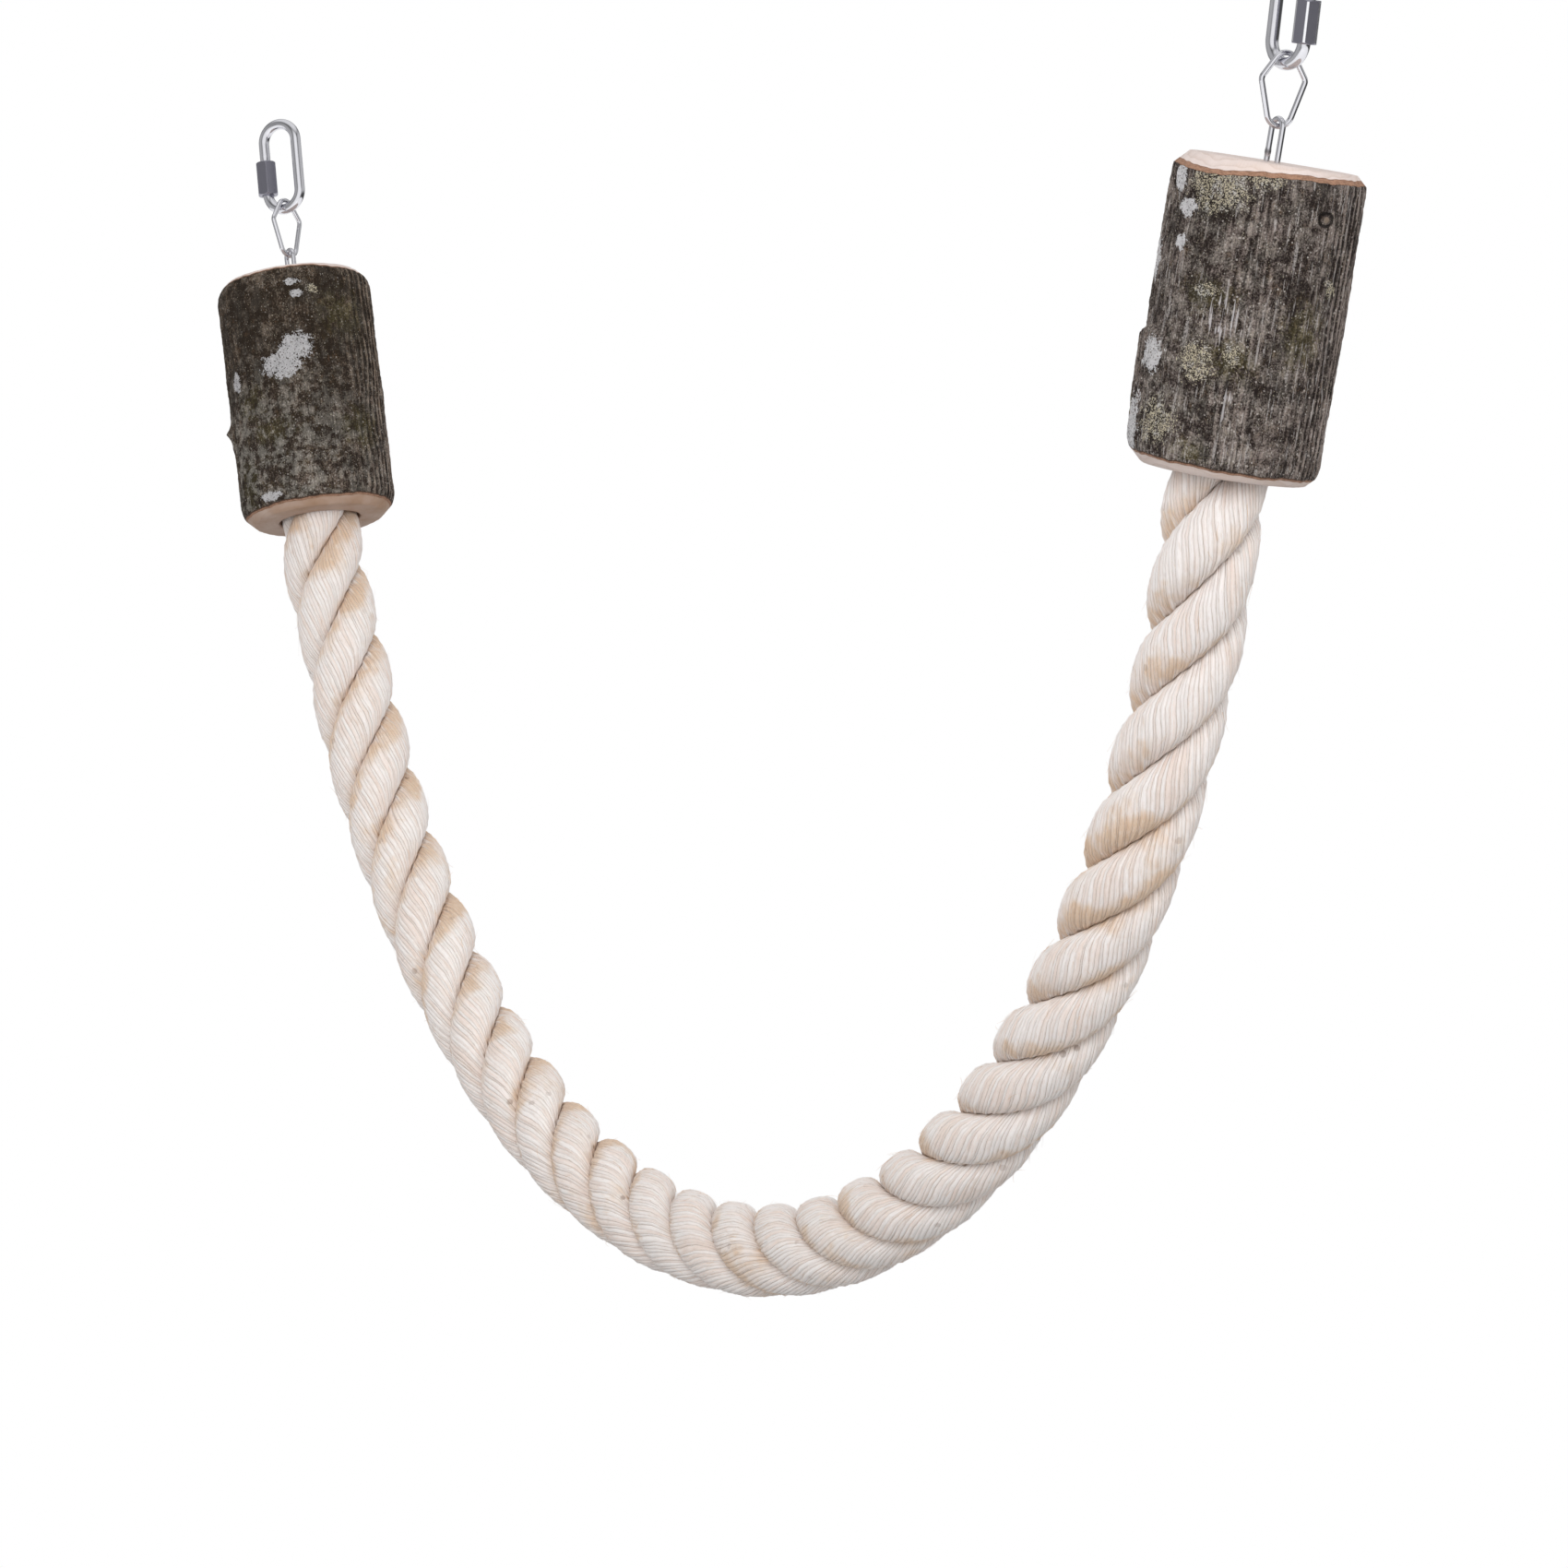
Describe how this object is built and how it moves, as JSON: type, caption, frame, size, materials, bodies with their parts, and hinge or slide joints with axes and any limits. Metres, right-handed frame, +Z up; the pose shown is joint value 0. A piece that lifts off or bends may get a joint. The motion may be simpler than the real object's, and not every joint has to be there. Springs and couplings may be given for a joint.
{
  "type": "bird rope swing",
  "caption": "Thick rope perch hanging in a U between two bark-covered branch ends, each on a narrow link, a six-sided link and a quick link with a threaded sleeve.",
  "frame": {"origin": "midway between the two hanging points, where the cage bars touch the inside of the quick links' tops", "axes": "+X runs from the left hanging point to the right one, +Z is up, and both lines of links hang in the XZ plane"},
  "size_m": [0.8094, 0.0787, 0.5219],
  "materials": {
    "link_steel": "polished stainless steel wire",
    "sleeve_steel": "machined stainless steel with plain flats",
    "fastener_steel": "plain stainless steel",
    "bark": "rough grey-brown bark with pale lichen",
    "cut_wood": "sawn and sanded bare wood",
    "rope_fibre": "undyed natural fibre laid in three strands"
  },
  "bodies": {
    "left_quick_link": {"quick_link_left": "link_steel"},
    "left_sleeve": {"quick_link_left_sleeve": "sleeve_steel"},
    "left_hex_link": {"hex_link_left": "link_steel"},
    "rope_swing": {"rope": "rope_fibre", "eye_link_left": "link_steel", "log_left_wood": "cut_wood", "log_left_bark": "bark", "link_pin_left": "fastener_steel", "rope_screw_left": "fastener_steel", "eye_link_right": "link_steel", "log_right_wood": "cut_wood", "log_right_bark": "bark", "link_pin_right": "fastener_steel", "rope_screw_right": "fastener_steel"},
    "right_hex_link": {"hex_link_right": "link_steel"},
    "right_quick_link": {"quick_link_right": "link_steel"},
    "right_sleeve": {"quick_link_right_sleeve": "sleeve_steel"}
  },
  "joints": [
    {"name": "left_link_tilt", "type": "hinge", "parent": "left_quick_link", "child": "left_hex_link", "pos_m": [-0.37739, 0, -0.03785], "axis": [1, 0, 0], "range_deg": [-30, 30]},
    {"name": "swing_tilt", "type": "hinge", "parent": "left_hex_link", "child": "rope_swing", "pos_m": [-0.37374, 0, -0.05752], "axis": [1, 0, 0], "range_deg": [-30, 30]},
    {"name": "right_link_tilt", "type": "hinge", "parent": "rope_swing", "child": "right_hex_link", "pos_m": [0.37374, 0, -0.05752], "axis": [1, 0, 0], "range_deg": [-30, 30]},
    {"name": "right_quick_link_tilt", "type": "hinge", "parent": "right_hex_link", "child": "right_quick_link", "pos_m": [0.37739, 0, -0.03785], "axis": [1, 0, 0], "range_deg": [-30, 30]},
    {"name": "left_sleeve_travel", "type": "slide", "parent": "left_quick_link", "child": "left_sleeve", "axis": [-0.1822, 0, 0.9833], "range_m": [0, 0.0085]},
    {"name": "right_sleeve_travel", "type": "slide", "parent": "right_quick_link", "child": "right_sleeve", "axis": [0.1822, 0, 0.9833], "range_m": [0, 0.0085]}
  ],
  "couplings": [
    {"joint": "right_link_tilt", "follows": "swing_tilt", "ratio": -1},
    {"joint": "right_quick_link_tilt", "follows": "left_link_tilt", "ratio": -1}
  ]
}
